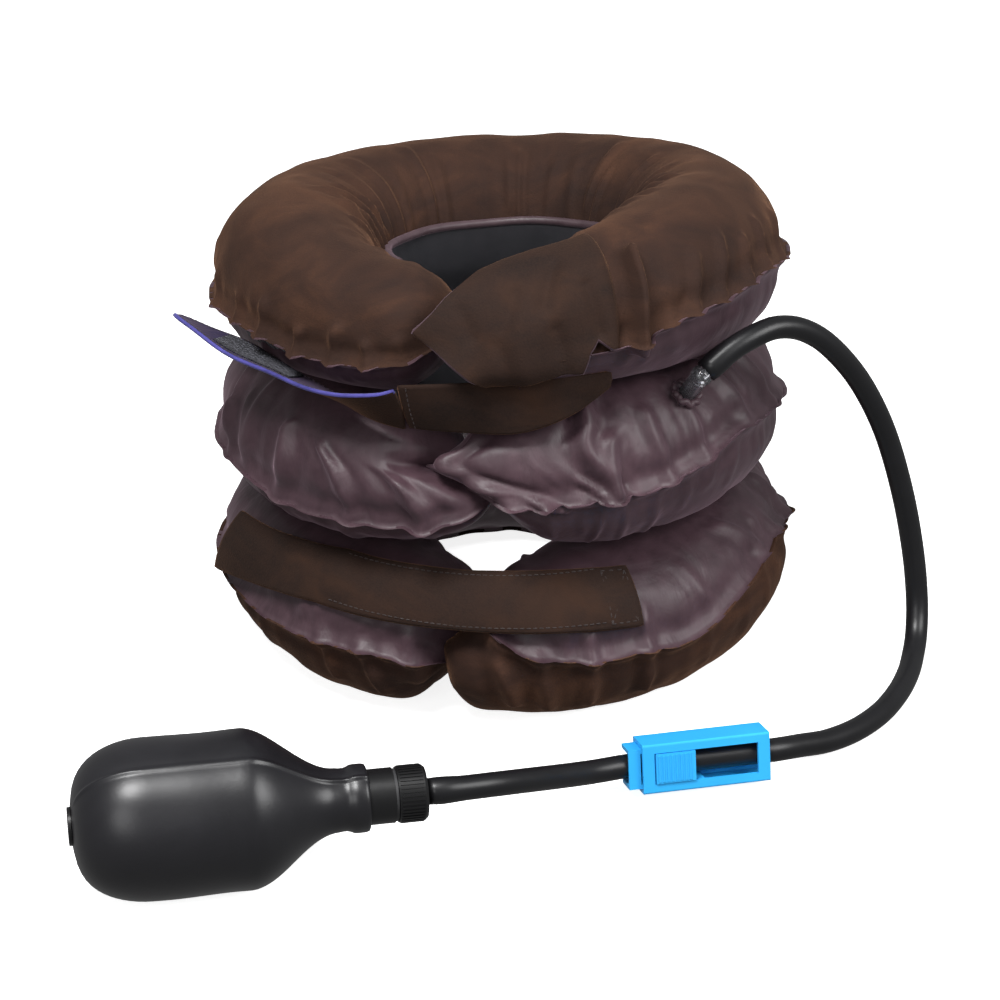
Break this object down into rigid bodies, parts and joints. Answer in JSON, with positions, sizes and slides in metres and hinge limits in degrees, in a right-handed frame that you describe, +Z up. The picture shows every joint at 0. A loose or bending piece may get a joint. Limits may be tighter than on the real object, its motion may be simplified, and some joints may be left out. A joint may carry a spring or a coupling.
{
  "type": "cervical traction device",
  "caption": "Inflatable neck collar of stacked ring-shaped air tubes with hook-and-loop straps, pumped up by a rubber hand bulb through a hose with a slide clamp.",
  "frame": {"origin": "centre of the neck opening, on the surface the collar stands on", "axes": "+Z up through the neck opening, -Y towards the front of the collar where its ends meet, +X towards the side the hose leaves"},
  "size_m": [0.3244, 0.3674, 0.2035],
  "materials": {
    "velour": "matte",
    "satin": "satin",
    "lining": "satin",
    "bladder_film": "satin",
    "clear_plastic": "glossy",
    "loop_tape": "matte",
    "hook_tape": "matte",
    "strap_lining": "satin",
    "hose_rubber": "satin",
    "clamp_plastic": "satin",
    "bulb_rubber": "satin",
    "black_plastic": "satin",
    "valve_rubber": "matte",
    "grey_plastic": "matte"
  },
  "bodies": {
    "lower_tube_and_pump": {"bottom_cover_base": "velour", "bottom_cover_top": "satin", "bottom_bladder": "bladder_film", "lower_joining_web": "lining", "lower_air_link": "clear_plastic", "lower_loop_patch": "loop_tape", "hose": "hose_rubber", "clamp_housing": "clamp_plastic", "bulb": "bulb_rubber", "bulb_connector": "black_plastic", "outlet_valve_retainer": "grey_plastic", "sealing_washer": "valve_rubber", "inlet_valve_seat": "black_plastic", "inlet_valve_retainer": "grey_plastic"},
    "upper_tubes": {"middle_cover_lower": "satin", "middle_cover_upper": "satin", "middle_bladder": "bladder_film", "top_cover_lower": "satin", "top_cover_upper": "velour", "top_bladder": "bladder_film", "upper_joining_web": "lining", "upper_air_link": "clear_plastic", "upper_strap_band": "velour", "upper_loop_patch": "loop_tape", "air_inlet_elbow": "clear_plastic"},
    "lower_strap": {"lower_strap": "velour", "lower_hook_pad": "hook_tape"},
    "upper_strap_tail": {"upper_strap_tail": "strap_lining", "upper_hook_pad": "hook_tape"},
    "clamp_slide": {"clamp_slide": "clamp_plastic"},
    "screw_cap": {"screw_cap": "black_plastic"},
    "outlet_valve_disc": {"outlet_valve_disc": "valve_rubber"},
    "inlet_valve_disc": {"inlet_valve_disc": "valve_rubber"}
  },
  "joints": [
    {"name": "deflation", "type": "slide", "parent": "lower_tube_and_pump", "child": "upper_tubes", "axis": [0, 0, -1], "range_m": [0, 0.075], "stiffness_N_per_m": 120, "springref_m": -0.06, "deforming": ["bottom_cover_base", "bottom_cover_top", "bottom_bladder", "lower_joining_web", "lower_air_link", "lower_loop_patch", "hose", "lower_strap", "lower_hook_pad", "middle_cover_lower", "middle_cover_upper", "middle_bladder", "top_cover_lower", "top_cover_upper", "top_bladder", "upper_joining_web", "upper_air_link", "upper_loop_patch"]},
    {"name": "upper_strap_swing", "type": "hinge", "parent": "upper_tubes", "child": "upper_strap_tail", "pos_m": [-0.0384, -0.1085, 0.1345], "axis": [0, 0, 1], "range_deg": [0, 70]},
    {"name": "lower_strap_swing", "type": "hinge", "parent": "lower_tube_and_pump", "child": "lower_strap", "pos_m": [0.051, -0.105, 0.056], "axis": [0, 0, 1], "range_deg": [0, 45]},
    {"name": "clamp_slide_travel", "type": "slide", "parent": "lower_tube_and_pump", "child": "clamp_slide", "axis": [0.9751, 0.2215, 0], "range_m": [0, 0.022]},
    {"name": "screw_cap_turn", "type": "hinge", "parent": "lower_tube_and_pump", "child": "screw_cap", "pos_m": [-0.0495, -0.2075, 0.0285], "axis": [0.9816, 0.1908, 0], "range_deg": [0, 540]},
    {"name": "outlet_valve_lift", "type": "slide", "parent": "lower_tube_and_pump", "child": "outlet_valve_disc", "axis": [0.9816, 0.1908, 0], "range_m": [0, 0.0012]},
    {"name": "inlet_valve_lift", "type": "slide", "parent": "lower_tube_and_pump", "child": "inlet_valve_disc", "axis": [0.9816, 0.1908, 0], "range_m": [0, 0.0012]}
  ]
}
